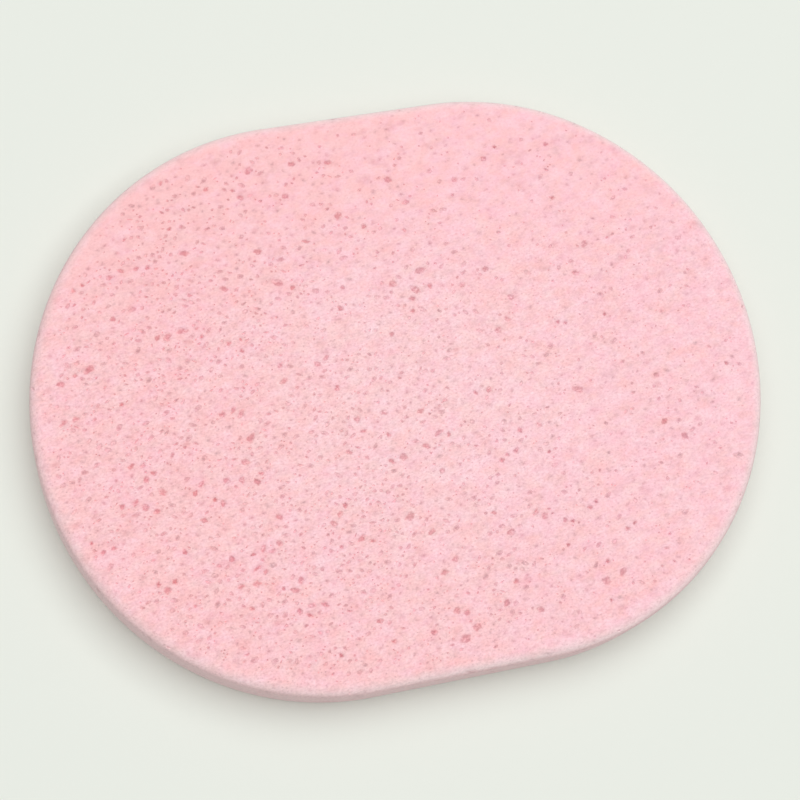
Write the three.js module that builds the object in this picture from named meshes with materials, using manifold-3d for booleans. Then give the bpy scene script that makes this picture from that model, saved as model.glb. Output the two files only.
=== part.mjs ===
// Face-washing sponge: one slab of open-cell foam, cut from sheet to a racetrack outline.
// The slab is a single piece. Its surface is broken by the coarse pores of the foam, on both faces
// and on the cut wall. Its edges are slightly softened.
//
// Millimetres, +Z up. The origin is the middle of the back face, which lies on the table,
// and X runs along the sponge.
import * as THREE from "three";
import { mergeVertices } from "three/addons/utils/BufferGeometryUtils.js";
import Module from "manifold-3d";

// Slab
const LENGTH = 120; // overall, along X
const WIDTH = 95; // overall, along Y
const THICKNESS = 10; // from the back face to the front face
const STRAIGHT = 29; // length of the straight run on each long side
const EDGE_RADIUS = 2; // softened edge between each face and the wall
const END_STEPS = 36; // facets round each end
const EDGE_STEPS = 4; // facets across each softened edge

// Coarse pores: bubbles of the foam that the cutting opened
const PORES_PER_CM2 = 1;
const MOUTH_RADIUS_MIN = 0.45;
const MOUTH_RADIUS_MAX = 0.8;
const MOUTH_STRETCH = 0.35; // most that a mouth is longer than it is wide, as a share
const PORE_DEPTH = 1.15; // depth of a pore, in mouth radii
const PORE_WALL = 0.5; // least foam left between two pores
const EDGE_MARGIN = 0.6; // least foam left between a pore and a softened edge
const PORE_SIDES = 6;
const PORE_RINGS = 4;
const FRONT_SEED = 97;
const BACK_SEED = 24;
const WALL_SEED = 37;
const TRIES_PER_PORE = 40; // before a crowded surface is left with fewer pores

const FOAM_PINK = "#fbcbd1";
const MM2_PER_CM2 = 100;

const halfStraight = STRAIGHT / 2;
const halfWidth = WIDTH / 2;
const endReach = LENGTH / 2 - halfStraight; // how far each rounded end runs past the straight sides

const wasm = await Module();
wasm.setup();

// Two straight sides joined by half ellipses, which are nearly half circles.
function racetrack() {
  const outline = new THREE.Shape();
  outline.moveTo(-halfStraight, -halfWidth);
  outline.lineTo(halfStraight, -halfWidth);
  outline.absellipse(halfStraight, 0, endReach, halfWidth, -Math.PI / 2, Math.PI / 2);
  outline.lineTo(-halfStraight, halfWidth);
  outline.absellipse(-halfStraight, 0, endReach, halfWidth, Math.PI / 2, (3 * Math.PI) / 2);
  return outline;
}

// Whether a point of a face lies inside the outline by at least this margin.
function isInside(x, y, margin) {
  const pastStraight = Math.max(Math.abs(x) - halfStraight, 0);
  return Math.hypot(pastStraight / (endReach - margin), y / (halfWidth - margin)) <= 1;
}

function solidOf(geometry) {
  const bare = geometry.clone();
  bare.deleteAttribute("normal");
  bare.deleteAttribute("uv");
  const merged = mergeVertices(bare);
  return new wasm.Manifold(
    new wasm.Mesh({
      numProp: 3,
      vertProperties: new Float32Array(merged.attributes.position.array),
      triVerts: new Uint32Array(merged.index.array),
    }),
  );
}

function geometryOf(solid) {
  const { vertProperties, triVerts } = solid.getMesh();
  const geometry = new THREE.BufferGeometry();
  geometry.setAttribute("position", new THREE.BufferAttribute(vertProperties, 3));
  geometry.setIndex(new THREE.BufferAttribute(triVerts, 1));
  geometry.computeVertexNormals();
  return geometry;
}

// The whole slab before the pores are opened, lying on its back face.
function slabGeometry(outline) {
  const slab = new THREE.ExtrudeGeometry(outline, {
    depth: THICKNESS - 2 * EDGE_RADIUS,
    curveSegments: END_STEPS,
    bevelSize: EDGE_RADIUS,
    bevelThickness: EDGE_RADIUS,
    bevelOffset: -EDGE_RADIUS,
    bevelSegments: EDGE_STEPS,
  });
  return slab.translate(0, 0, EDGE_RADIUS);
}

// Numbers from 0 to 1 that are the same in every build.
function seededRandom(seed) {
  let state = seed;
  return () => {
    state = (Math.imul(state, 1664525) + 1013904223) >>> 0;
    return state / 2 ** 32;
  };
}

// Scatters pores over a flat area of a given span. Each one has its place, its mouth and its turn.
function scatterPores(seed, area, spanX, spanY, fits) {
  const random = seededRandom(seed);
  const wanted = Math.round((PORES_PER_CM2 * area) / MM2_PER_CM2);
  const pores = [];
  for (let tries = wanted * TRIES_PER_PORE; tries > 0 && pores.length < wanted; tries--) {
    const x = (random() - 0.5) * spanX;
    const y = (random() - 0.5) * spanY;
    // Squared, so that small mouths are commoner than large ones.
    const radius = MOUTH_RADIUS_MIN + (MOUTH_RADIUS_MAX - MOUTH_RADIUS_MIN) * random() ** 2;
    const stretch = 1 + MOUTH_STRETCH * random();
    const turn = Math.PI * random();
    const reach = radius * stretch;
    const apart = (other) => Math.hypot(x - other.x, y - other.y) > reach + other.reach + PORE_WALL;
    if (fits(x, y, reach) && pores.every(apart)) {
      pores.push({ x, y, radius, stretch, turn, reach });
    }
  }
  return pores;
}

// One bubble with its middle at the origin and its depth along Z, for cutting into a surface there.
function bubble({ radius, stretch, turn }) {
  const ball = new THREE.SphereGeometry(1, PORE_SIDES, PORE_RINGS).rotateX(Math.PI / 2);
  return ball.scale(radius * stretch, radius, radius * PORE_DEPTH).rotateZ(turn);
}

function facePores(seed, outline, height) {
  const area = THREE.ShapeUtils.area(outline.getPoints(END_STEPS));
  const margin = EDGE_RADIUS + EDGE_MARGIN;
  const fits = (x, y, reach) => isInside(x, y, margin + reach);
  return scatterPores(seed, area, LENGTH, WIDTH, fits).map((pore) =>
    solidOf(bubble(pore).translate(pore.x, pore.y, height)),
  );
}

// Pores of the wall are scattered on the wall as if it were rolled out flat, and then wrapped round.
function wallPores(seed, outline) {
  const around = outline.getLength();
  const wallHeight = THICKNESS - 2 * (EDGE_RADIUS + EDGE_MARGIN);
  const fits = (x, y, reach) =>
    Math.abs(x) + reach <= around / 2 && Math.abs(y) + reach <= wallHeight / 2;
  return scatterPores(seed, around * wallHeight, around, wallHeight, fits).map((pore) => {
    const along = pore.x / around + 0.5;
    const place = outline.getPointAt(along);
    const tangent = outline.getTangentAt(along);
    const heading = Math.atan2(tangent.y, tangent.x);
    const cutter = bubble(pore).rotateX(Math.PI / 2).rotateZ(heading);
    return solidOf(cutter.translate(place.x, place.y, THICKNESS / 2 + pore.y));
  });
}

function spongeMesh() {
  const outline = racetrack();
  const pores = [
    ...facePores(FRONT_SEED, outline, THICKNESS),
    ...facePores(BACK_SEED, outline, 0),
    ...wallPores(WALL_SEED, outline),
  ];
  const openPores = wasm.Manifold.union(pores);
  const foam = solidOf(slabGeometry(outline)).subtract(openPores);
  const material = new THREE.MeshStandardMaterial({ color: FOAM_PINK, roughness: 0.95, metalness: 0 });
  const mesh = new THREE.Mesh(geometryOf(foam), material);
  mesh.name = "foam_slab";
  return mesh;
}

const sponge = new THREE.Group();
sponge.name = "sponge";
sponge.add(spongeMesh());

export default sponge;
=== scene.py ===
"""Looks of a face-washing sponge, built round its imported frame.

The sponge is one slab of pale pink open-cell foam, cut to a racetrack outline and lying on its back.
Its two faces and its wall are laid out flat with the mouths of the foam's pores, wrapped to shape,
joined, and then each pore is sunk into the foam.
"""

import math
from collections import namedtuple

import bpy
import numpy as np
from bpy.props import FloatProperty, FloatVectorProperty, PointerProperty
from mathutils import Matrix, Vector, noise
from mathutils.geometry import delaunay_2d_cdt
from mathutils.kdtree import KDTree


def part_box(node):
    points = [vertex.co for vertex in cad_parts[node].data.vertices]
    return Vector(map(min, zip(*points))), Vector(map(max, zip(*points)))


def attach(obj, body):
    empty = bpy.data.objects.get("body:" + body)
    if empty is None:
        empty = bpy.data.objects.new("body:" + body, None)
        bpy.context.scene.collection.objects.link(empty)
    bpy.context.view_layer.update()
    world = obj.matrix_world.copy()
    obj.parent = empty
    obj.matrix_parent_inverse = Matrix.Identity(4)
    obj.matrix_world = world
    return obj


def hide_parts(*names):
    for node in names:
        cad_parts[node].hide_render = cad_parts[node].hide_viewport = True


bl_info = {
    "name": "Face-washing sponge",
    "version": (1, 0, 0),
    "blender": (4, 5, 0),
    "location": "View3D > Sidebar > Sponge",
    "description": "Builds a pored foam sponge and the stage that it lies on",
    "category": "Add Mesh",
}

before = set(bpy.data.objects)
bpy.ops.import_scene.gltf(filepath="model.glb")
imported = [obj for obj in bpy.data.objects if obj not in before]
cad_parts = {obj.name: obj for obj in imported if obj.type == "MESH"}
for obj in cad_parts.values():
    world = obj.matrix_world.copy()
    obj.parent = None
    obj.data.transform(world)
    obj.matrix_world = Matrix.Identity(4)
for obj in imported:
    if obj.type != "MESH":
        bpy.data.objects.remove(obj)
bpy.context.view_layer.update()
SLAB_LOW, SLAB_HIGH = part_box("foam_slab")
SLAB_SIZE = SLAB_HIGH - SLAB_LOW
SLAB_MIDDLE = (SLAB_LOW + SLAB_HIGH) / 2

MM = 0.001
CM2 = 0.0001
WELD_DISTANCE = 0.001 * MM
LAYOUT_PRECISION = WELD_DISTANCE / 10
FILL_INSIDE = 1  # a flat layout is filled with triangles inside its border

# Coarse pores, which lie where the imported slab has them
COARSE_PER_CM2 = 1
COARSE_RADIUS_MIN = 0.45 * MM
COARSE_RADIUS_MAX = 0.8 * MM
COARSE_STRETCH = 0.35  # most that a mouth is longer than it is wide, as a share
COARSE_WALL = 0.5 * MM  # least foam left between two of them
COARSE_EDGE_MARGIN = 0.6 * MM  # least foam left to a softened edge
COARSE_TRIES = 40  # for each of them, before a crowded sheet is left with fewer
COARSE_SHUT = 0.7  # of a coarse pore's radius that the skin leaves open where pores lie thinnest
COARSE_OPEN = 1.05  # the same where they lie thickest

# Grades of pore: the mouth's least and greatest radius, how much longer than wide it may be, its corners,
# the steps by which its sides narrow and sink, and how far its floor dips. Lengths are in millimetres.
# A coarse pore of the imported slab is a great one, or a medium one where the skin leaves less of it open.
PoreGrade = namedtuple("PoreGrade", "radius_min radius_max stretch corners sinking floor")
PORE_GRADES = {
    "great": PoreGrade(0.5, 0.7, 0.35, 12, ((0.12, 0.1), (0.13, 0.15)), 0.18),
    "coarse": PoreGrade(0.55, 0.9, 0.8, 11, ((0.13, 0.1), (0.14, 0.13)), 0.12),
    "slit": PoreGrade(0.14, 0.2, 2.6, 9, ((0.06, 0.11),), 0.07),
    "medium": PoreGrade(0.3, 0.55, 1, 8, ((0.11, 0.115),), 0.12),
    "faint": PoreGrade(0.4, 0.7, 1, 7, (), 0.17),
    "small": PoreGrade(0.17, 0.3, 0.7, 6, (), 0.18),
}

# How the finer pores lie
THIN_WALL = 0.06 * MM  # least foam left between two neighbouring pores
NARROW_BIAS = 1.5  # power that makes the narrow pores of a grade commoner than the wide ones
CLUSTER_SHARE = 0.33  # of the pores, which open right beside another one
CLUSTER_GAP = 1.02  # least foam between a pore and the one that it opens beside, in thin walls
GRAIN_TURN = math.radians(10)  # from the sponge's length to the way that the finer pores mostly run
GRAIN_SPREAD = 0.55  # how far round from that way they turn, as a share of all ways
GRAIN_STRETCH = 1.4  # of the foam's fine marks along that way
THINNING = 0.78  # share of the pores that a face lacks where they lie thinnest, toward its far right
THINNING_START = -15 * MM  # along the face, where the pores start to thin out
THINNING_WIDTH = 45 * MM  # from there to where they lie thinnest
THINNING_SLANT = 0.6  # how much the way to the far side counts beside the way to the right
MOUTH_DENT = 0.45  # how far a mouth's edge wanders in from its ellipse, as a share
MOUTH_JITTER = 0.5  # how far a mouth's corners wander along its edge, as a share of their spacing
CROWDING = 0.35  # how much the pores crowd in some patches and thin out in others
CROWDS_PER_METRE = 60
BELT = 9 * MM  # along the outline, where the pores thin out
BELT_SHARE = 0.55  # of the pores left at the outline itself
BACK_SHARE = 0.8  # of the front face's finer pores, on the back face
WALL_SHARE = 0.15  # of the front face's finer pores, on the same area of wall
HALO = 0.6 * MM  # how far round a pore its shade fades to about a third
HALO_REACH = 3 * HALO  # past which a pore casts no shade
HALO_PORE = 0.4 * MM  # radius of a pore of the usual width

# Fineness of the sheets before the pores are sunk
OUTLINE_STEPS = 360
BEND_SAMPLES = 1500
EDGE_ROWS = 6
WALL_ROWS = 4
LAND_STEP = 1.5 * MM  # between the loose points of a face
LAND_SCATTER = 0.8  # how far a loose point strays, in steps
LAND_MARGIN = LAND_STEP / 3  # from the loose points to the border

WAVE_SCALE = 22 * MM  # of the front face's gentle waves
SMOOTH_ANGLE = math.radians(40)  # between faces that are shaded as one

# Noise in the foam: about how many patches lie on a metre, its finer layers and how strong they are
FoamNoise = namedtuple("FoamNoise", "per_metre detail roughness")
PATCHES = FoamNoise(40, 3, 0.55)
FLECKS = FoamNoise(550, 2, 0.6)
CLOUDS = FoamNoise(420, 2, 0.5)
BLOTCHES = FoamNoise(750, 3, 0.6)
RAGS = FoamNoise(1800, 3, 0.7)
WISPS = FoamNoise(650, 2, 0.6)
FUZZ = FoamNoise(2000, 3, 0.6)
PINK_PORES = FoamNoise(550, 1, 0.5)
GRAIN = FoamNoise(3000, 4, 0.7)
NOISE_LOW = 0.3  # most of a noise lies from here
NOISE_HIGH = 0.7  # to here

# Soft round spots in the foam: cells to the metre, the spot's radius in its cell, how rare strong ones are
FoamSpots = namedtuple("FoamSpots", "per_metre radius rarity")
BUBBLES = FoamSpots(420, 0.34, 2)
DIMPLES = FoamSpots(1000, 0.42, 1.5)
PINPRICKS = FoamSpots(2400, 0.5, 2.2)

# How strong the marks of the foam are
PATCH_SWING = 0.2  # between warmer and cooler pink, either way
FLECK_SWING = 0.6
CLOUD_BLOOM = 0.11  # share of white at most
BLOTCH_BLOOM = 0.12
SPECK_SWING = 0.095  # of lightness, either way
BUBBLE_STRENGTH = 0.5
DIMPLE_STRENGTH = 0.5
PINPRICK_STRENGTH = 0.62
WISP_STRENGTH = 0.36
FUZZ_STRENGTH = 0.4

# Changes of the foam over its skin, each from one place or measure to another and from one value to another
Ramp = namedtuple("Ramp", "start end at_start at_end")
COOL_ALONG = Ramp(-50 * MM, 50 * MM, 0.34, 0.6)  # share of cooler pink
WARM_FAR = Ramp(10 * MM, 40 * MM, 0, -0.25)  # how much less of it the far side has
WARM_LEFT = Ramp(0, 30 * MM, 1, 0)  # how far that holds along the sponge
# A pool of light is painted on the front face, palest round this point.
PAINTED_LIGHT_MIDDLE = (0, -4 * MM, SLAB_HIGH.z)  # of the palest part of the front face
PAINTED_LIGHT_FROM_MIDDLE = Ramp(5 * MM, 42 * MM, 0.07, 0)
BLOOM_ACROSS = Ramp(12 * MM, 36 * MM, 1.08, 0.75)
# Painted sheen whitens the rounded edge, partly standing for lighter cut foam; less of it toward the left
# end is painted shade.
CUT_AND_SHEEN_RAMP = Ramp(0.02, 0.55, 0, 0.8)  # by how far the skin turns to the wall
LEFT_SHADE_RAMP = Ramp(-60 * MM, 0, 0.5, 1)
# Painted shade on the wall: its colour is darkened as if the wall lay in shade.
WALL_SHADE_RAMP = Ramp(0.56, 0.76, 0, 1)  # by how far the skin turns to the wall
DEPTH_SHADE = Ramp(0, 0.39 * MM, 0, 1)
HALO_SHADE = Ramp(0.1, 2.1, 0, 0.4)
RAGGED_LOW = 0.1  # of a pore's shade where it is thinnest
RAGGED_HIGH = 1.9  # and where it is strongest
THREADS = Ramp(0.5, 0.75, 0, 1)  # of the noise behind wisps and fuzz
WALL_FADING = Ramp(0.2, 1, 1, 0.4)  # of all shade, by how far the skin turns to the wall
ROUGH_ACROSS = Ramp(12 * MM, 36 * MM, 1.25, 0.5)  # strength of the finest marks
ROUGH_ALONG = Ramp(10 * MM, 50 * MM, 1, 0.8)
PINK_SHARE = Ramp(0.35, 0.7, 0, 1)  # of the noise behind pinker pores
PINK_ALONG = Ramp(-50 * MM, 30 * MM, 1, 0.6)
MATTNESS = Ramp(0, 1, 0.88, 1)  # by the grain

BUMP_STRENGTH = 0.5
BUMP_DEPTH = 0.08 * MM
FOAM_FINISH = {"Specular IOR Level": 0.2, "Sheen Weight": 0.2, "Sheen Roughness": 0.4}

# Numbers behind the draws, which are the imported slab's own
DRAW_FACTOR = 1664525
DRAW_STEP = 1013904223
DRAW_RANGE = 2**32
FRONT_SEED = 97
BACK_SEED = 24
WALL_SEED = 37
FINER_SEED = 1000  # added to a sheet's seed for its finer pores

# Stage, with its lengths in metres
FLOOR_SIZE = 6
FLOOR_GAP = 0.05 * MM  # to the back face, so that the two don't share one plane
FLOOR_FINISH = {"Roughness": 0.8, "Specular IOR Level": 0.2}
ROOM_LIGHT = 0.33
WINDOW_PLACE = (0.12, 0.1, 1.4)
WINDOW_SIZE = 1.8
WINDOW_POWER = 21.6


class SlabSizes(bpy.types.PropertyGroup):
    """Sizes of the foam slab"""

    length: FloatProperty(name="Length", description="Overall, along X", default=SLAB_SIZE.x, unit="LENGTH")
    width: FloatProperty(name="Width", description="Overall, along Y", default=SLAB_SIZE.y, unit="LENGTH")
    thickness: FloatProperty(
        name="Thickness",
        description="From the back face to the front face",
        default=SLAB_SIZE.z,
        unit="LENGTH",
    )
    straight: FloatProperty(
        name="Straight run",
        description="Of each long side",
        default=29 * MM,
        unit="LENGTH",
    )
    edge_radius: FloatProperty(
        name="Edge radius",
        description="Softened edge between face and wall",
        default=2 * MM,
        unit="LENGTH",
    )
    pinch: FloatProperty(
        name="Pinch",
        description="How far the cutting drew each face in at the edge",
        default=0.25 * MM,
        unit="LENGTH",
    )
    pinch_width: FloatProperty(
        name="Pinch width",
        description="Belt of face that is drawn in",
        default=5 * MM,
        unit="LENGTH",
    )
    swell: FloatProperty(
        name="Swell",
        description="Height of the front face's gentle waves",
        default=0.35 * MM,
        unit="LENGTH",
    )


class PoreCounts(bpy.types.PropertyGroup):
    """How many pores of each grade lie on a square centimetre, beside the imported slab's coarse pores"""

    coarse: FloatProperty(name="Coarse", description="Wide, deep pores", default=1.4, min=0)
    slit: FloatProperty(name="Slits", description="Long, narrow pores", default=1, min=0)
    medium: FloatProperty(name="Medium", description="Pores of middling width", default=10.4, min=0)
    faint: FloatProperty(name="Faint", description="Wide, shallow dimples", default=10.5, min=0)
    small: FloatProperty(name="Small", description="Narrow pores", default=11, min=0)


class FoamColours(bpy.types.PropertyGroup):
    """Colours of the foam, with those of the shade and sheen painted on it"""

    peach: FloatVectorProperty(
        name="Peach",
        description="Warmer patches of the foam",
        subtype="COLOR",
        default=(0.98, 0.526, 0.536),
    )
    rose: FloatVectorProperty(
        name="Rose",
        description="Cooler patches of the foam",
        subtype="COLOR",
        default=(0.98, 0.553, 0.62),
    )
    shade: FloatVectorProperty(
        name="Pore shade",
        description="Tints the depth of the duller pores",
        subtype="COLOR",
        default=(0.605, 0.585, 0.605),
    )
    # Painted shade in the pinker pores, and also the pink of the bubbles under the skin.
    blush_and_pore_shade: FloatVectorProperty(
        name="Pore blush",
        description="Tints the depth of the pinker pores",
        subtype="COLOR",
        default=(0.75, 0.545, 0.567),
    )
    # Painted sheen on the rounded edges, partly also lighter cut foam there.
    cut: FloatVectorProperty(
        name="Cut foam",
        description="Paler foam of the edges",
        subtype="COLOR",
        default=(0.95, 0.77, 0.77),
    )
    # Painted shade: the wall's colour is darkened as if it lay in shade.
    wall: FloatVectorProperty(
        name="Wall",
        description="Duller foam of the wall",
        subtype="COLOR",
        default=(0.83, 0.59, 0.6),
    )


class StageSettings(bpy.types.PropertyGroup):
    """Camera and floor"""

    tilt: FloatProperty(
        name="Tilt",
        description="How far the near side leans to the camera",
        default=math.radians(14.8),
        unit="ROTATION",
    )
    lean: FloatProperty(
        name="Lean",
        description="How far the right end leans away",
        default=math.radians(7.7),
        unit="ROTATION",
    )
    roll: FloatProperty(
        name="Roll",
        description="Turn of the sponge in the picture",
        default=math.radians(12.1),
        unit="ROTATION",
    )
    distance: FloatProperty(
        name="Distance",
        description="From the camera to the front face",
        default=322.5 * MM,
        unit="LENGTH",
    )
    shift_right: FloatProperty(
        name="Right",
        description="Of the picture's middle",
        default=0.95 * MM,
        unit="LENGTH",
    )
    shift_up: FloatProperty(
        name="Up",
        description="Of the picture's middle",
        default=2.6 * MM,
        unit="LENGTH",
    )
    lens: FloatProperty(name="Lens", description="Focal length in millimetres", default=90)
    floor: FloatVectorProperty(
        name="Floor",
        description="Colour of the floor",
        subtype="COLOR",
        default=(0.78, 0.81, 0.75),
    )


class Outline:
    """The slab's outline, measured along its line from the left end of the near straight side."""

    def __init__(self, slab):
        self.half_straight = slab.straight / 2
        self.half_width = slab.width / 2
        self.end_reach = slab.length / 2 - self.half_straight
        bend = np.linspace(-math.pi / 2, math.pi / 2, BEND_SAMPLES)
        right = np.column_stack((np.cos(bend) * self.end_reach, np.sin(bend) * self.half_width))
        slopes = np.column_stack((np.cos(bend) / self.end_reach, np.sin(bend) / self.half_width))
        normals = slopes / np.linalg.norm(slopes, axis=1)[:, None]
        right[:, 0] += self.half_straight
        self.places = np.vstack((-right[-1:], right, -right))
        self.normals = np.vstack((-normals[-1:], normals, -normals))
        steps = np.linalg.norm(np.diff(self.places, axis=0), axis=1)
        self.along = np.concatenate(([0], np.cumsum(steps)))
        self.length = float(self.along[-1])
        self.area = slab.width * slab.straight + math.pi * self.end_reach * self.half_width

    def holds(self, x, y, margin):
        """Whether a point lies inside the outline by at least this margin."""
        past_straight = max(abs(x) - self.half_straight, 0)
        return math.hypot(past_straight / (self.end_reach - margin), y / (self.half_width - margin)) <= 1

    def inside(self, x, y):
        """About how far inside the outline points lie."""
        past_straight = np.maximum(np.abs(x) - self.half_straight, 0)
        out = np.hypot(past_straight / self.end_reach, y / self.half_width)
        return (1 - out) * np.where(past_straight > 0, self.end_reach, self.half_width)

    def at(self, along, inset):
        """The points this far along the outline, set in from it."""
        place = [np.interp(along, self.along, self.places[:, axis]) for axis in (0, 1)]
        normal = [np.interp(along, self.along, self.normals[:, axis]) for axis in (0, 1)]
        stretch = np.hypot(*normal)
        return [p - inset * n / stretch for p, n in zip(place, normal)]


class WallProfile:
    """The section through the wall and its two softened edges, measured along its line from the middle."""

    def __init__(self, slab):
        self.radius = slab.edge_radius
        self.half_flat = slab.thickness / 2 - slab.edge_radius
        self.half_length = self.half_flat + self.radius * math.pi / 2

    def at(self, across):
        """How far in from the outline and how far above the middle points of the profile are."""
        turn = np.maximum(np.abs(across) - self.half_flat, 0) / self.radius
        height = np.minimum(np.abs(across), self.half_flat) + self.radius * np.sin(turn)
        return self.radius * (1 - np.cos(turn)), np.copysign(height, across)

    def rows(self):
        """Heights along the profile of the rows of points that bend it round the edges."""
        edge = [self.radius * math.pi / 2 * row / EDGE_ROWS for row in range(EDGE_ROWS + 1)]
        upper = [self.half_flat + turn for turn in edge]
        flat = [self.half_flat * (2 * row / WALL_ROWS - 1) for row in range(1, WALL_ROWS)]
        return [-height for height in upper[::-1]] + flat + upper


Pore = namedtuple("Pore", "x y radius stretch turn reach grade")


def reach_toward(pore, bearing):
    """How far a pore's mouth may reach toward a bearing."""
    off = bearing - pore.turn
    return pore.radius * math.hypot(pore.stretch * math.cos(off), math.sin(off))


class PoreBed:
    """Pores scattered over a flat sheet, with foam left between them."""

    CELL = 3 * MM

    def __init__(self):
        self.pores = []
        self.cells = {}

    def near(self, x, y):
        """The pores whose middles lie in the cell of this point and the cells round it."""
        column, row = math.floor(x / self.CELL), math.floor(y / self.CELL)
        for i in (column - 1, column, column + 1):
            for j in (row - 1, row, row + 1):
                yield from self.cells.get((i, j), ())

    def is_free(self, pore, wall):
        """Whether a pore would leave this much foam to every pore near it."""
        for other in self.near(pore.x, pore.y):
            across, up = other.x - pore.x, other.y - pore.y
            bearing = math.atan2(up, across)
            reach = reach_toward(pore, bearing) + reach_toward(other, bearing)
            if math.hypot(across, up) <= reach + wall:
                return False
        return True

    def is_land(self, x, y, wall):
        """Whether a point lies at least this far outside every pore."""
        return self.is_free(Pore(x, y, 0, 1, 0, 0, None), wall)

    def add(self, pore):
        """Puts a pore on the sheet."""
        self.pores.append(pore)
        cell = (math.floor(pore.x / self.CELL), math.floor(pore.y / self.CELL))
        self.cells.setdefault(cell, []).append(pore)


def seeded_draws(seed):
    """Numbers from 0 to 1 that are the same in every run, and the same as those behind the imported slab."""
    state = seed
    while True:
        state = (state * DRAW_FACTOR + DRAW_STEP) % DRAW_RANGE
        yield state / DRAW_RANGE


def scatter_coarse_pores(bed, seed, area, span, holds, density):
    """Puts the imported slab's coarse pores on a sheet, drawn in the same order as there."""
    draw = seeded_draws(seed)
    wanted = round(COARSE_PER_CM2 * area / CM2)
    for _ in range(wanted * COARSE_TRIES):
        if len(bed.pores) == wanted:
            break
        x = (next(draw) - 0.5) * span[0]
        y = (next(draw) - 0.5) * span[1]
        radius = COARSE_RADIUS_MIN + (COARSE_RADIUS_MAX - COARSE_RADIUS_MIN) * next(draw) ** 2
        stretch = 1 + COARSE_STRETCH * next(draw)
        turn = math.pi * next(draw)
        reach = radius * stretch
        clear = all(math.hypot(x - p.x, y - p.y) > reach + p.reach + COARSE_WALL for p in bed.pores)
        if clear and holds(x, y, reach + COARSE_EDGE_MARGIN):
            opening = radius * (COARSE_SHUT + (COARSE_OPEN - COARSE_SHUT) * density(x, y))
            grade = "great" if opening > PORE_GRADES["great"].radius_min * MM else "medium"
            bed.add(Pore(x, y, opening, stretch, turn, reach, grade))


def scatter_finer_pores(bed, seed, area, span, holds, density, counts):
    """Fills a sheet with the other pores, the larger grades first, some of them in clusters."""
    draw = seeded_draws(seed + FINER_SEED)
    for name in ("coarse", "slit", "medium", "faint", "small"):
        grade = PORE_GRADES[name]
        wanted = len(bed.pores) + round(getattr(counts, name) * area / CM2)
        while len(bed.pores) < wanted:
            widening = (grade.radius_max - grade.radius_min) * next(draw) ** NARROW_BIAS
            radius = MM * (grade.radius_min + widening)
            stretch = 1 + grade.stretch * next(draw)
            turn = GRAIN_TURN + math.pi * GRAIN_SPREAD * (next(draw) - 0.5)
            x = (next(draw) - 0.5) * span[0]
            y = (next(draw) - 0.5) * span[1]
            pore = Pore(x, y, radius, stretch, turn, radius * stretch, name)
            if next(draw) < CLUSTER_SHARE and bed.pores:
                beside = bed.pores[int(next(draw) * len(bed.pores))]
                bearing = GRAIN_TURN + math.pi * (GRAIN_SPREAD * (next(draw) - 0.5) + round(next(draw)))
                gap = reach_toward(beside, bearing) + reach_toward(pore, bearing)
                gap += THIN_WALL * (CLUSTER_GAP + next(draw))
                x = beside.x + gap * math.cos(bearing)
                y = beside.y + gap * math.sin(bearing)
                pore = pore._replace(x=x, y=y)
            if next(draw) > density(x, y):
                continue
            if holds(x, y, pore.reach + THIN_WALL) and bed.is_free(pore, THIN_WALL):
                bed.add(pore)


def crowd(x, y, seed):
    """How thickly pores lie round a point, from about a half to 1."""
    wave = noise.noise(Vector((x * CROWDS_PER_METRE, y * CROWDS_PER_METRE, seed)))
    return 1 - CROWDING * (0.5 - wave)


def mouth_of(pore, draw):
    """The corners of a pore's mouth: an ellipse with an uneven edge."""
    corners = PORE_GRADES[pore.grade].corners
    turned = Matrix.Rotation(pore.turn, 2)
    mouth = []
    for corner in range(corners):
        angle = 2 * math.pi * (corner + MOUTH_JITTER * (next(draw) - 0.5)) / corners
        size = pore.radius * (1 - MOUTH_DENT * next(draw))
        spoke = Vector((size * pore.stretch * math.cos(angle), size * math.sin(angle)))
        mouth.append(Vector((pore.x, pore.y)) + turned @ spoke)
    return mouth


def sheet_layout(border, bed, loose, seed):
    """Fills a flat sheet between its border, its pore mouths and some loose points.

    Returns the points, the triangles of land and the mouth of each pore.
    """
    draw = seeded_draws(seed)
    points = list(border)
    mouths = []
    for pore in bed.pores:
        corners = mouth_of(pore, draw)
        mouths.append(list(range(len(points), len(points) + len(corners))))
        points.extend(corners)
    points.extend(loose)
    rim = [(k, (k + 1) % len(border)) for k in range(len(border))]
    laid = delaunay_2d_cdt(points, rim, mouths, FILL_INSIDE, LAYOUT_PRECISION)
    laid_points, _, triangles, _, _, mouths_of_triangles = laid
    if len(laid_points) != len(points):
        raise RuntimeError("pore mouths touch each other or the border")
    land = [face for face, inside in zip(triangles, mouths_of_triangles) if not inside]
    return np.array(points), land, mouths


class FlatMap:
    """The flat map that the sheets share: both faces side by side, with the wall in two strips above."""

    GAP = 2 * MM

    def __init__(self, slab, outline, profile):
        self.face_across = slab.width + self.GAP
        self.face_along = slab.length + self.GAP
        self.strip = 2 * profile.half_length + self.GAP
        self.half_wall = outline.length / 2
        self.size = np.array((2 * self.face_across, self.face_along + 2 * self.strip))

    def of(self, name, corners, middles):
        """Where corners of a sheet's faces lie on the map, given the middles of those faces."""
        if name == "wall":
            second = middles[:, 0] > self.half_wall
            u = corners[:, 0] - second * self.half_wall + 2 * self.GAP
            v = corners[:, 1] + self.face_along + self.strip * (0.5 + second)
        else:
            u = corners[:, 1] + self.face_across * (0.5 if name == "front" else 1.5)
            v = corners[:, 0] + self.face_along / 2
        return np.column_stack((u, v)) / self.size


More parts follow.
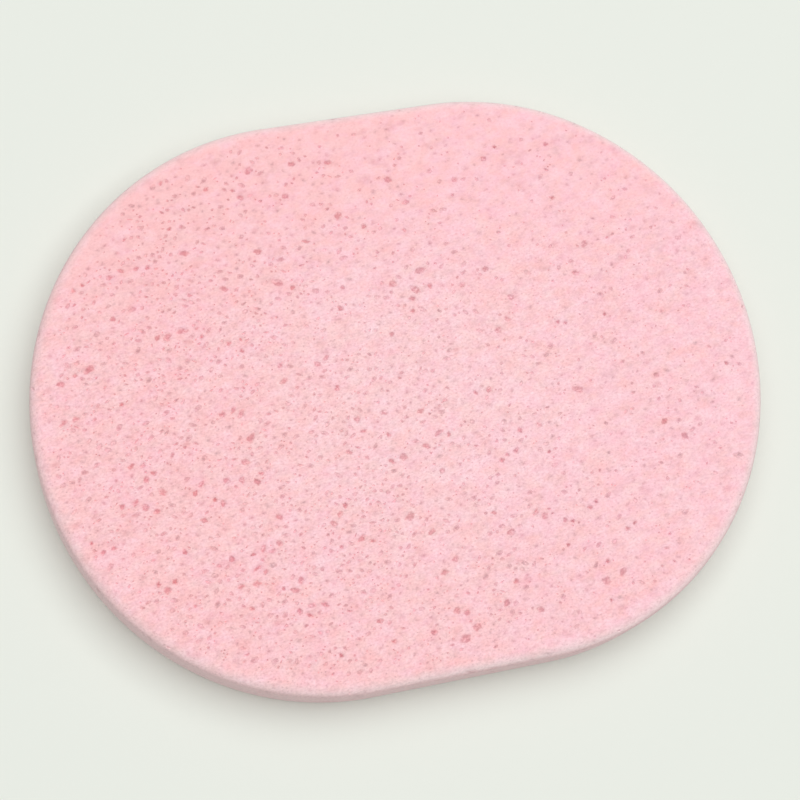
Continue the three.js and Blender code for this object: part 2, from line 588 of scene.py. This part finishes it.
def add_sheet(name, points, places, land, mouths, bed, flat_map):
    """Makes a sheet a mesh, with each face's grade of pore, 0 for land, and its place on the flat map."""
    mesh = bpy.data.meshes.new(name)
    mesh.from_pydata(places, [], land + mouths)
    grades = list(PORE_GRADES)
    marks = [0] * len(land) + [1 + grades.index(pore.grade) for pore in bed.pores]
    mesh.attributes.new("pore_grade", "INT", "FACE").data.foreach_set("value", marks)

    vertices = np.empty(len(mesh.loops), np.int32)
    mesh.loops.foreach_get("vertex_index", vertices)
    counts = np.empty(len(mesh.polygons), np.int32)
    mesh.polygons.foreach_get("loop_total", counts)
    corners = points[vertices]
    firsts = np.cumsum(counts) - counts
    middles = np.add.reduceat(corners, firsts) / counts[:, None]
    spread = flat_map.of(name, corners, np.repeat(middles, counts, axis=0))
    mesh.uv_layers.new(name="OFBake").uv.foreach_set("vector", spread.astype(np.float32).ravel())

    sheet = bpy.data.objects.new(name, mesh)
    bpy.context.scene.collection.objects.link(sheet)
    return sheet


def face_sheet(name, seed, share, slab, counts, outline, flat_map):
    """A pored face, flat at its height, with its outward side up or down."""
    bed = PoreBed()
    span = (slab.length, slab.width)

    def holds(x, y, margin):
        return outline.holds(x, y, slab.edge_radius + margin)

    def density(x, y):
        belt = min(max(float(outline.inside(x, y)) / BELT, 0), 1)
        slanted = x + THINNING_SLANT * max(y, 0)
        rightward = min(max((slanted - THINNING_START) / THINNING_WIDTH, 0), 1)
        return (BELT_SHARE + (1 - BELT_SHARE) * belt) * (1 - THINNING * rightward) * crowd(x, y, seed)

    scatter_coarse_pores(bed, seed, outline.area, span, holds, density)
    scatter_finer_pores(bed, seed, share * outline.area, span, holds, density, counts)
    steps = np.arange(OUTLINE_STEPS) * outline.length / OUTLINE_STEPS
    border = [Vector(place) for place in zip(*outline.at(steps, slab.edge_radius))]
    loose = []
    draw = seeded_draws(seed)
    for column in range(int(span[0] / LAND_STEP)):
        for row in range(int(span[1] / LAND_STEP)):
            x = (column + LAND_SCATTER * next(draw)) * LAND_STEP - span[0] / 2
            y = (row + LAND_SCATTER * next(draw)) * LAND_STEP - span[1] / 2
            if holds(x, y, LAND_MARGIN) and bed.is_land(x, y, THIN_WALL):
                loose.append(Vector((x, y)))
    points, land, mouths = sheet_layout(border, bed, loose, seed)
    height = SLAB_HIGH.z if name == "front" else SLAB_LOW.z
    places = np.column_stack((points, np.full(len(points), height)))
    if name == "back":
        land = [face[::-1] for face in land]
        mouths = [mouth[::-1] for mouth in mouths]
    return add_sheet(name, points, places, land, mouths, bed, flat_map)


def wall_sheet(seed, slab, counts, outline, profile, flat_map):
    """The pored wall with its softened edges, laid out flat and then wrapped round the outline."""
    length, reach_up = outline.length, profile.half_length
    scattered = PoreBed()

    def holds_coarse(x, y, margin):
        return abs(x) + margin - COARSE_EDGE_MARGIN <= length / 2 and abs(y) + margin <= profile.half_flat

    def holds(x, y, margin):
        return abs(x) + margin + THIN_WALL <= length / 2 and abs(y) + margin + THIN_WALL <= reach_up

    def density(x, y):
        return crowd(x, y, seed)

    coarse_height = 2 * (profile.half_flat - COARSE_EDGE_MARGIN)
    coarse_span = (length, coarse_height)
    scatter_coarse_pores(scattered, seed, length * coarse_height, coarse_span, holds_coarse, density)
    pored_area = WALL_SHARE * length * 2 * reach_up
    scatter_finer_pores(scattered, seed, pored_area, (length, 2 * reach_up), holds, density, counts)
    # The sheet's own line starts at the left end of the near straight side.
    bed = PoreBed()
    for pore in scattered.pores:
        bed.add(pore._replace(x=pore.x + length / 2))

    columns = [length * step / OUTLINE_STEPS for step in range(OUTLINE_STEPS + 1)]
    rows = profile.rows()
    border = [Vector((x, rows[0])) for x in columns]
    border += [Vector((length, y)) for y in rows[1:-1]]
    border += [Vector((x, rows[-1])) for x in columns[::-1]]
    border += [Vector((0, y)) for y in rows[-2:0:-1]]
    spots = [(x, y) for y in rows[1:-1] for x in columns[1:-1]]
    loose = [Vector(spot) for spot in spots if bed.is_land(*spot, THIN_WALL / 2)]
    points, land, mouths = sheet_layout(border, bed, loose, seed)
    inset, height = profile.at(points[:, 1])
    places = np.column_stack((*outline.at(points[:, 0], inset), SLAB_MIDDLE.z + height))
    return add_sheet("wall", points, places, land, mouths, bed, flat_map)


def select_only(*pieces):
    """Selects these objects alone, and makes the first one active."""
    bpy.ops.object.select_all(action="DESELECT")
    for piece in pieces:
        piece.select_set(True)
    bpy.context.view_layer.objects.active = pieces[0]


def join_sheets(sheets):
    """Joins the faces and the wall into one closed skin."""
    select_only(*sheets)
    bpy.ops.object.join()
    sponge = bpy.context.view_layer.objects.active
    bpy.ops.object.mode_set(mode="EDIT")
    bpy.ops.mesh.select_all(action="SELECT")
    bpy.ops.mesh.remove_doubles(threshold=WELD_DISTANCE)
    bpy.ops.mesh.select_all(action="DESELECT")
    bpy.ops.mesh.select_mode(type="FACE")
    bpy.ops.object.mode_set(mode="OBJECT")
    return sponge


def pore_marks(sponge):
    """The grade of each face's pore, counted from 1, or 0 for land."""
    marks = np.empty(len(sponge.data.polygons), np.int32)
    sponge.data.attributes["pore_grade"].data.foreach_get("value", marks)
    return marks


def find_pores(sponge):
    """The middles of all the pore mouths, for searching, and the width of each as a share of the usual."""
    mouths = [face for face, mark in zip(sponge.data.polygons, pore_marks(sponge)) if mark]
    tree = KDTree(len(mouths))
    for number, mouth in enumerate(mouths):
        tree.insert(mouth.center, number)
    tree.balance()
    return tree, [math.sqrt(mouth.area / math.pi) / HALO_PORE for mouth in mouths]


def mark_halos(sponge, tree, widths):
    """Stores how much shade the pores round each point of the skin cast about them."""
    halos = []
    for vertex in sponge.data.vertices:
        near = tree.find_range(vertex.co, HALO_REACH)
        halos.append(sum(widths[number] * math.exp(-((gap / HALO) ** 2)) for _, number, gap in near))
    sponge.data.attributes.new("pore_halo", "FLOAT", "POINT").data.foreach_set("value", halos)


def sink_pores(sponge):
    """Sinks every pore mouth into the foam, one grade at a time."""
    for number, grade in enumerate(PORE_GRADES.values(), start=1):
        sponge.data.polygons.foreach_set("select", pore_marks(sponge) == number)
        bpy.ops.object.mode_set(mode="EDIT")
        for narrowing, depth in grade.sinking:
            bpy.ops.mesh.inset(thickness=narrowing * MM, depth=-depth * MM, use_individual=True)
        bpy.ops.mesh.poke(offset=-grade.floor * MM)
        bpy.ops.mesh.select_all(action="DESELECT")
        bpy.ops.object.mode_set(mode="OBJECT")


def places_of(sponge):
    """The places of all the points of a mesh, as one column each for X, Y and Z."""
    places = np.empty(len(sponge.data.vertices) * 3, np.float32)
    sponge.data.vertices.foreach_get("co", places)
    return places.reshape(-1, 3).T.astype(float)


def mark_skin(sponge, slab, outline):
    """Stores how deep each point lies below the smooth skin, and how far the skin turns to the wall."""
    x, y, z = places_of(sponge)
    radius = slab.edge_radius
    from_wall = outline.inside(x, y)
    from_face = np.minimum(z - SLAB_LOW.z, SLAB_HIGH.z - z)
    outward = np.maximum(radius - from_wall, 0)
    upward = np.maximum(radius - from_face, 0)
    rounded = (outward > 0) & (upward > 0)
    depth = np.where(rounded, radius - np.hypot(outward, upward), np.minimum(from_wall, from_face))
    turn = np.where(from_wall < from_face, 1.0, 0.0)
    turn[rounded] = np.arctan2(outward, upward)[rounded] / (math.pi / 2)
    for name, found in (("pore_depth", depth), ("turn_to_wall", turn)):
        layer = sponge.data.attributes.new(name, "FLOAT", "POINT")
        layer.data.foreach_set("value", found.astype(np.float32))


def pinch_edge(sponge, slab, outline):
    """Draws both faces in a little along the cut edge."""
    x, y, z = places_of(sponge)
    belt = np.clip(1 - outline.inside(x, y) / slab.pinch_width, 0, 1)
    z -= slab.pinch * belt**2 * (z - SLAB_MIDDLE.z) / (slab.thickness / 2)
    sponge.data.vertices.foreach_set("co", np.column_stack((x, y, z)).astype(np.float32).ravel())
    sponge.data.update()


def swell_front(sponge, slab):
    """Gives the front face its gentle waves, with the back left flat where it rests."""
    group = sponge.vertex_groups.new(name="front")
    for vertex in sponge.data.vertices:
        share = (vertex.co.z - SLAB_LOW.z) / slab.thickness
        group.add([vertex.index], max(share, 0) ** 2, "REPLACE")
    waves = bpy.data.textures.new("foam_waves", "CLOUDS")
    waves.noise_scale = WAVE_SCALE
    waves.noise_depth = 1
    swell = sponge.modifiers.new("swell", "DISPLACE")
    swell.texture = waves
    swell.texture_coords = "LOCAL"
    swell.direction = "Z"
    swell.mid_level = 0.5
    swell.strength = slab.swell
    swell.vertex_group = group.name
    bpy.ops.object.modifier_apply(modifier=swell.name)
    sponge.vertex_groups.clear()


class FoamNodes:
    """Lays out the nodes of a material whose patterns lie in the piece's own space."""

    def __init__(self, material):
        material.use_nodes = True
        self.tree = material.node_tree
        self.shader = self.tree.nodes["Principled BSDF"]
        self.place = self.tree.nodes.new("ShaderNodeTexCoord").outputs["Object"]
        ways = self.node("ShaderNodeSeparateXYZ", {0: self.place})
        self.along = ways.outputs["X"]
        self.across = ways.outputs["Y"]
        self.turn = self.attribute("turn_to_wall")
        turned = {"Vector": self.place, "Rotation": (0, 0, GRAIN_TURN), "Scale": (GRAIN_STRETCH, 1, 1)}
        self.grain = self.node("ShaderNodeMapping", turned, vector_type="TEXTURE").outputs["Vector"]

    def node(self, kind, inputs, **settings):
        """Adds a node with its settings, and links or sets its inputs."""
        node = self.tree.nodes.new(kind)
        for name, value in settings.items():
            setattr(node, name, value)
        for name, value in inputs.items():
            self.feed(node.inputs[name], value)
        return node

    def feed(self, socket, value):
        """Links a socket to another node's output, or sets its value."""
        if isinstance(value, bpy.types.NodeSocket):
            self.tree.links.new(value, socket)
        else:
            socket.default_value = value

    def noise(self, kind):
        """Soft noise of a kind, drawn out along the grain."""
        inputs = {"Vector": self.grain, "Scale": kind.per_metre}
        inputs |= {"Detail": kind.detail, "Roughness": kind.roughness}
        return self.node("ShaderNodeTexNoise", inputs).outputs["Fac"]

    def swing(self, kind, low, high):
        """Noise of a kind that swings between two values."""
        return self.spread(self.noise(kind), NOISE_LOW, NOISE_HIGH, low, high)

    def spots(self, kind):
        """Soft round spots of a kind in a loose packing. Where strong ones are rare, most are faint."""
        cells = self.node("ShaderNodeTexVoronoi", {"Vector": self.grain, "Scale": kind.per_metre})
        near = self.spread(cells.outputs["Distance"], 0, kind.radius, 1, 0, smooth=True)
        chance = self.node("ShaderNodeSeparateColor", {"Color": cells.outputs["Color"]})
        return self.maths("MULTIPLY", near, self.maths("POWER", chance.outputs["Red"], kind.rarity))

    def attribute(self, name):
        """A number stored on the mesh."""
        return self.node("ShaderNodeAttribute", {}, attribute_name=name).outputs["Fac"]

    def spread(self, value, low, high, to_low=0, to_high=1, smooth=False):
        """Maps a value from one range to another, held at the ends."""
        inputs = {"Value": value, "From Min": low, "From Max": high, "To Min": to_low, "To Max": to_high}
        kind = "SMOOTHSTEP" if smooth else "LINEAR"
        return self.node("ShaderNodeMapRange", inputs, interpolation_type=kind).outputs["Result"]

    def maths(self, operation, first, second):
        """Works out one number from two."""
        return self.node("ShaderNodeMath", {0: first, 1: second}, operation=operation).outputs[0]

    def mix(self, factor, first, second, blend="MIX"):
        """Mixes a second colour into a first one."""
        # The node has sockets for each kind of value, and these are the colours'.
        inputs = {0: factor, 6: first, 7: second}
        return self.node("ShaderNodeMix", inputs, data_type="RGBA", blend_type=blend).outputs[2]


def tint_land(nodes, peach, rose):
    """The pink of the skin between the pores, with pale clouds and blotches on it and a pool of light
    painted in the middle of the front face.
    """
    # The left end is warmer, most of all on the far side, with patches and flecks of both pinks everywhere.
    far = nodes.spread(nodes.across, *WARM_FAR)
    far_left = nodes.maths("MULTIPLY", far, nodes.spread(nodes.along, *WARM_LEFT))
    drift = nodes.maths("ADD", nodes.spread(nodes.along, *COOL_ALONG), far_left)
    patches = nodes.swing(PATCHES, -PATCH_SWING, PATCH_SWING)
    flecks = nodes.swing(FLECKS, -FLECK_SWING, FLECK_SWING)
    coolness = nodes.maths("ADD", drift, nodes.maths("ADD", patches, flecks))
    pink = nodes.mix(coolness, peach, rose)

    # The bloom lies in soft pale spots and is least on the far side; its strongest part, in the middle of
    # the front face, is a painted pool of light.
    inputs = {0: nodes.place, 1: PAINTED_LIGHT_MIDDLE}
    from_middle = nodes.node("ShaderNodeVectorMath", inputs, operation="DISTANCE").outputs["Value"]
    middle = nodes.spread(from_middle, *PAINTED_LIGHT_FROM_MIDDLE, smooth=True)
    clouds = nodes.swing(CLOUDS, 0, CLOUD_BLOOM)
    blotches = nodes.swing(BLOTCHES, 0, BLOTCH_BLOOM)
    spotted = nodes.maths("ADD", middle, nodes.maths("ADD", clouds, blotches))
    bloom = nodes.maths("MULTIPLY", spotted, nodes.spread(nodes.across, *BLOOM_ACROSS))
    return nodes.mix(bloom, pink, (1, 1, 1, 1))


def tint_edges(nodes, land, cut, wall):
    """Paints sheen on the skin where it turns to the wall, partly for lighter cut foam there, with painted
    shade making it less pale toward the left end, and paints shade on the wall itself.
    """
    # Painted sheen lightens the rounded edge, partly for lighter cut foam; toward the left end painted shade
    # leaves less of it.
    left_end_shade = nodes.spread(nodes.along, *LEFT_SHADE_RAMP)
    pale_cut_and_sheen = nodes.maths("MULTIPLY", nodes.spread(nodes.turn, *CUT_AND_SHEEN_RAMP), left_end_shade)
    # Painted shade darkens the wall.
    painted_wall_shade = nodes.spread(nodes.turn, *WALL_SHADE_RAMP)
    return nodes.mix(painted_wall_shade, nodes.mix(pale_cut_and_sheen, land, cut), wall)


def pore_shade(nodes, dimples, pinpricks, roughness):
    """How far the skin is shaded: in pores by their depth, round them by their halos, and in fine marks."""
    depth = nodes.spread(nodes.attribute("pore_depth"), *DEPTH_SHADE)
    halo = nodes.spread(nodes.attribute("pore_halo"), *HALO_SHADE)
    ragged = nodes.swing(RAGS, RAGGED_LOW, RAGGED_HIGH)
    shaded = nodes.maths("MULTIPLY", nodes.maths("ADD", depth, halo), ragged)
    wisps = nodes.spread(nodes.noise(WISPS), *THREADS)
    fuzz = nodes.spread(nodes.noise(FUZZ), *THREADS)
    fine_marks = (
        (dimples, DIMPLE_STRENGTH),
        (nodes.maths("MULTIPLY", pinpricks, roughness), PINPRICK_STRENGTH),
        (wisps, WISP_STRENGTH),
        (nodes.maths("MULTIPLY", fuzz, roughness), FUZZ_STRENGTH),
    )
    for marks, strength in fine_marks:
        shaded = nodes.maths("MAXIMUM", shaded, nodes.maths("MULTIPLY", marks, strength))
    return nodes.maths("MULTIPLY", shaded, nodes.spread(nodes.turn, *WALL_FADING))


def pore_tint(nodes, shade, blush_and_pore_shade):
    """The tint of the painted shade in and round the pores: pinker in wide pores and in some patches, and
    less pink toward the right.
    """
    # The first two grades are wide, and land is 0.
    grade = nodes.attribute("pore_grade")
    wide = nodes.maths("MULTIPLY", nodes.spread(grade, 0, 1), nodes.spread(grade, 2, 3, 1, 0))
    pinker = nodes.maths("MAXIMUM", nodes.spread(nodes.noise(PINK_PORES), *PINK_SHARE), wide)
    rosy = nodes.maths("MULTIPLY", pinker, nodes.spread(nodes.along, *PINK_ALONG))
    return nodes.mix(rosy, shade, blush_and_pore_shade)


def foam_material(colours):
    """Pale pink foam with shade painted in and round its pores and fine cells, pale edges that are partly
    painted sheen, and a wall in painted shade.
    """
    material = bpy.data.materials.new("pink_foam")
    nodes = FoamNodes(material)
    named = (colours.peach, colours.rose, colours.shade, colours.blush_and_pore_shade, colours.cut, colours.wall)
    peach, rose, shade, blush_and_pore_shade, cut, wall = ((*colour, 1) for colour in named)
    edged = tint_edges(nodes, tint_land(nodes, peach, rose), cut, wall)

    # Bubbles blush through the skin.
    bubbles = nodes.maths("MULTIPLY", nodes.spots(BUBBLES), BUBBLE_STRENGTH)
    blushed = nodes.mix(bubbles, edged, blush_and_pore_shade, blend="MULTIPLY")

    # The finest marks grow fainter toward the far side and the right end.
    rough_across = nodes.spread(nodes.across, *ROUGH_ACROSS)
    roughness = nodes.maths("MULTIPLY", rough_across, nodes.spread(nodes.along, *ROUGH_ALONG))
    dimples = nodes.spots(DIMPLES)
    pinpricks = nodes.spots(PINPRICKS)
    shaded = pore_shade(nodes, dimples, pinpricks, roughness)
    pored = nodes.mix(shaded, blushed, pore_tint(nodes, shade, blush_and_pore_shade), blend="MULTIPLY")

    grain = nodes.noise(GRAIN)
    specks = nodes.spread(grain, NOISE_LOW, NOISE_HIGH, -SPECK_SWING, SPECK_SWING)
    lightness = nodes.maths("ADD", nodes.maths("MULTIPLY", specks, roughness), 1)
    toned = nodes.node("ShaderNodeVectorMath", {0: pored, "Scale": lightness}, operation="SCALE")
    nodes.feed(nodes.shader.inputs["Base Color"], toned.outputs[0])

    height = nodes.maths("SUBTRACT", grain, nodes.maths("ADD", pinpricks, dimples))
    inputs = {"Height": height, "Strength": BUMP_STRENGTH, "Distance": BUMP_DEPTH}
    bump = nodes.node("ShaderNodeBump", inputs)
    nodes.feed(nodes.shader.inputs["Normal"], bump.outputs["Normal"])
    nodes.feed(nodes.shader.inputs["Roughness"], nodes.spread(grain, *MATTNESS))
    for name, value in FOAM_FINISH.items():
        nodes.shader.inputs[name].default_value = value
    return material


class SPONGE_OT_foam_slab(bpy.types.Operator):
    """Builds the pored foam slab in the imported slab's place"""

    bl_idname = "sponge.foam_slab"
    bl_label = "Foam slab"

    def execute(self, context):
        slab = context.scene.sponge_slab
        counts = context.scene.sponge_pores
        outline = Outline(slab)
        profile = WallProfile(slab)
        flat_map = FlatMap(slab, outline, profile)
        front = face_sheet("front", FRONT_SEED, 1, slab, counts, outline, flat_map)
        back = face_sheet("back", BACK_SEED, BACK_SHARE, slab, counts, outline, flat_map)
        wall = wall_sheet(WALL_SEED, slab, counts, outline, profile, flat_map)
        sponge = join_sheets((front, back, wall))
        sponge.name = sponge.data.name = "pink_foam_slab"
        tree, widths = find_pores(sponge)
        sink_pores(sponge)
        mark_halos(sponge, tree, widths)
        mark_skin(sponge, slab, outline)
        pinch_edge(sponge, slab, outline)
        swell_front(sponge, slab)
        bpy.ops.object.shade_smooth_by_angle(angle=SMOOTH_ANGLE)
        sponge.data.materials.append(foam_material(context.scene.sponge_colours))
        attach(sponge, "root")
        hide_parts("foam_slab")
        return {"FINISHED"}


def add_floor(stage):
    """A plain pale floor that the sponge lies on."""
    bpy.ops.object.select_all(action="DESELECT")
    bpy.ops.mesh.primitive_plane_add(size=FLOOR_SIZE, location=(0, 0, SLAB_LOW.z - FLOOR_GAP))
    floor = bpy.context.view_layer.objects.active
    floor.name = "floor"
    material = bpy.data.materials.new("pale_floor")
    material.use_nodes = True
    shader = material.node_tree.nodes["Principled BSDF"]
    shader.inputs["Base Color"].default_value = (*stage.floor, 1)
    for name, value in FLOOR_FINISH.items():
        shader.inputs[name].default_value = value
    floor.data.materials.append(material)


def light_room():
    """An even room light and one large soft light overhead."""
    world = bpy.context.scene.world or bpy.data.worlds.new("room")
    bpy.context.scene.world = world
    world.use_nodes = True
    background = world.node_tree.nodes["Background"]
    background.inputs["Color"].default_value = (1, 1, 1, 1)
    background.inputs["Strength"].default_value = ROOM_LIGHT

    bpy.ops.object.light_add(type="AREA", location=WINDOW_PLACE)
    window = bpy.context.view_layer.objects.active
    window.name = "window"
    window.data.size = WINDOW_SIZE
    window.data.energy = WINDOW_POWER
    window.rotation_euler = (-Vector(WINDOW_PLACE)).to_track_quat("-Z", "Y").to_euler()


def add_camera(stage):
    """The camera over the front face."""
    bpy.ops.object.camera_add()
    camera = bpy.context.view_layer.objects.active
    camera.name = "camera"
    camera.data.lens = stage.lens
    turns = ((-stage.tilt, "X"), (stage.lean, "Y"), (stage.roll, "Z"))
    tilted, leant, rolled = (Matrix.Rotation(angle, 3, axis) for angle, axis in turns)
    view = (tilted @ leant @ rolled).transposed()
    offset = view @ Vector((-stage.shift_right, -stage.shift_up, stage.distance))
    place = offset + Vector((0, 0, SLAB_HIGH.z))
    camera.matrix_world = Matrix.Translation(place) @ view.to_4x4()
    bpy.context.scene.camera = camera


class SPONGE_OT_stage(bpy.types.Operator):
    """Sets the floor, the lights and the camera"""

    bl_idname = "sponge.stage"
    bl_label = "Stage"

    def execute(self, context):
        stage = context.scene.sponge_stage
        add_floor(stage)
        light_room()
        add_camera(stage)
        context.scene.view_settings.view_transform = "Standard"
        return {"FINISHED"}


class SPONGE_PT_sidebar(bpy.types.Panel):
    """Sizes, colours and steps of the sponge"""

    bl_idname = "SPONGE_PT_sidebar"
    bl_label = "Sponge"
    bl_space_type = "VIEW_3D"
    bl_region_type = "UI"
    bl_category = "Sponge"

    def draw(self, context):
        for name in SETTINGS:
            settings = getattr(context.scene, name)
            box = self.layout.box()
            for prop in settings.bl_rna.properties:
                if prop.identifier not in {"rna_type", "name"}:
                    box.prop(settings, prop.identifier)
        for step in (SPONGE_OT_foam_slab, SPONGE_OT_stage):
            self.layout.operator(step.bl_idname)


SETTINGS = {
    "sponge_slab": SlabSizes,
    "sponge_pores": PoreCounts,
    "sponge_colours": FoamColours,
    "sponge_stage": StageSettings,
}
CLASSES = (*SETTINGS.values(), SPONGE_OT_foam_slab, SPONGE_OT_stage, SPONGE_PT_sidebar)


def register():
    """Registers the classes, and gives every scene their settings."""
    for cls in CLASSES:
        bpy.utils.register_class(cls)
    for name, group in SETTINGS.items():
        setattr(bpy.types.Scene, name, PointerProperty(type=group))


def unregister():
    """Takes the settings and the classes away again."""
    for name in SETTINGS:
        delattr(bpy.types.Scene, name)
    for cls in reversed(CLASSES):
        bpy.utils.unregister_class(cls)


def main():
    """Builds the sponge and its stage."""
    register()
    bpy.ops.sponge.foam_slab()
    bpy.ops.sponge.stage()


if __name__ == "__main__":
    main()
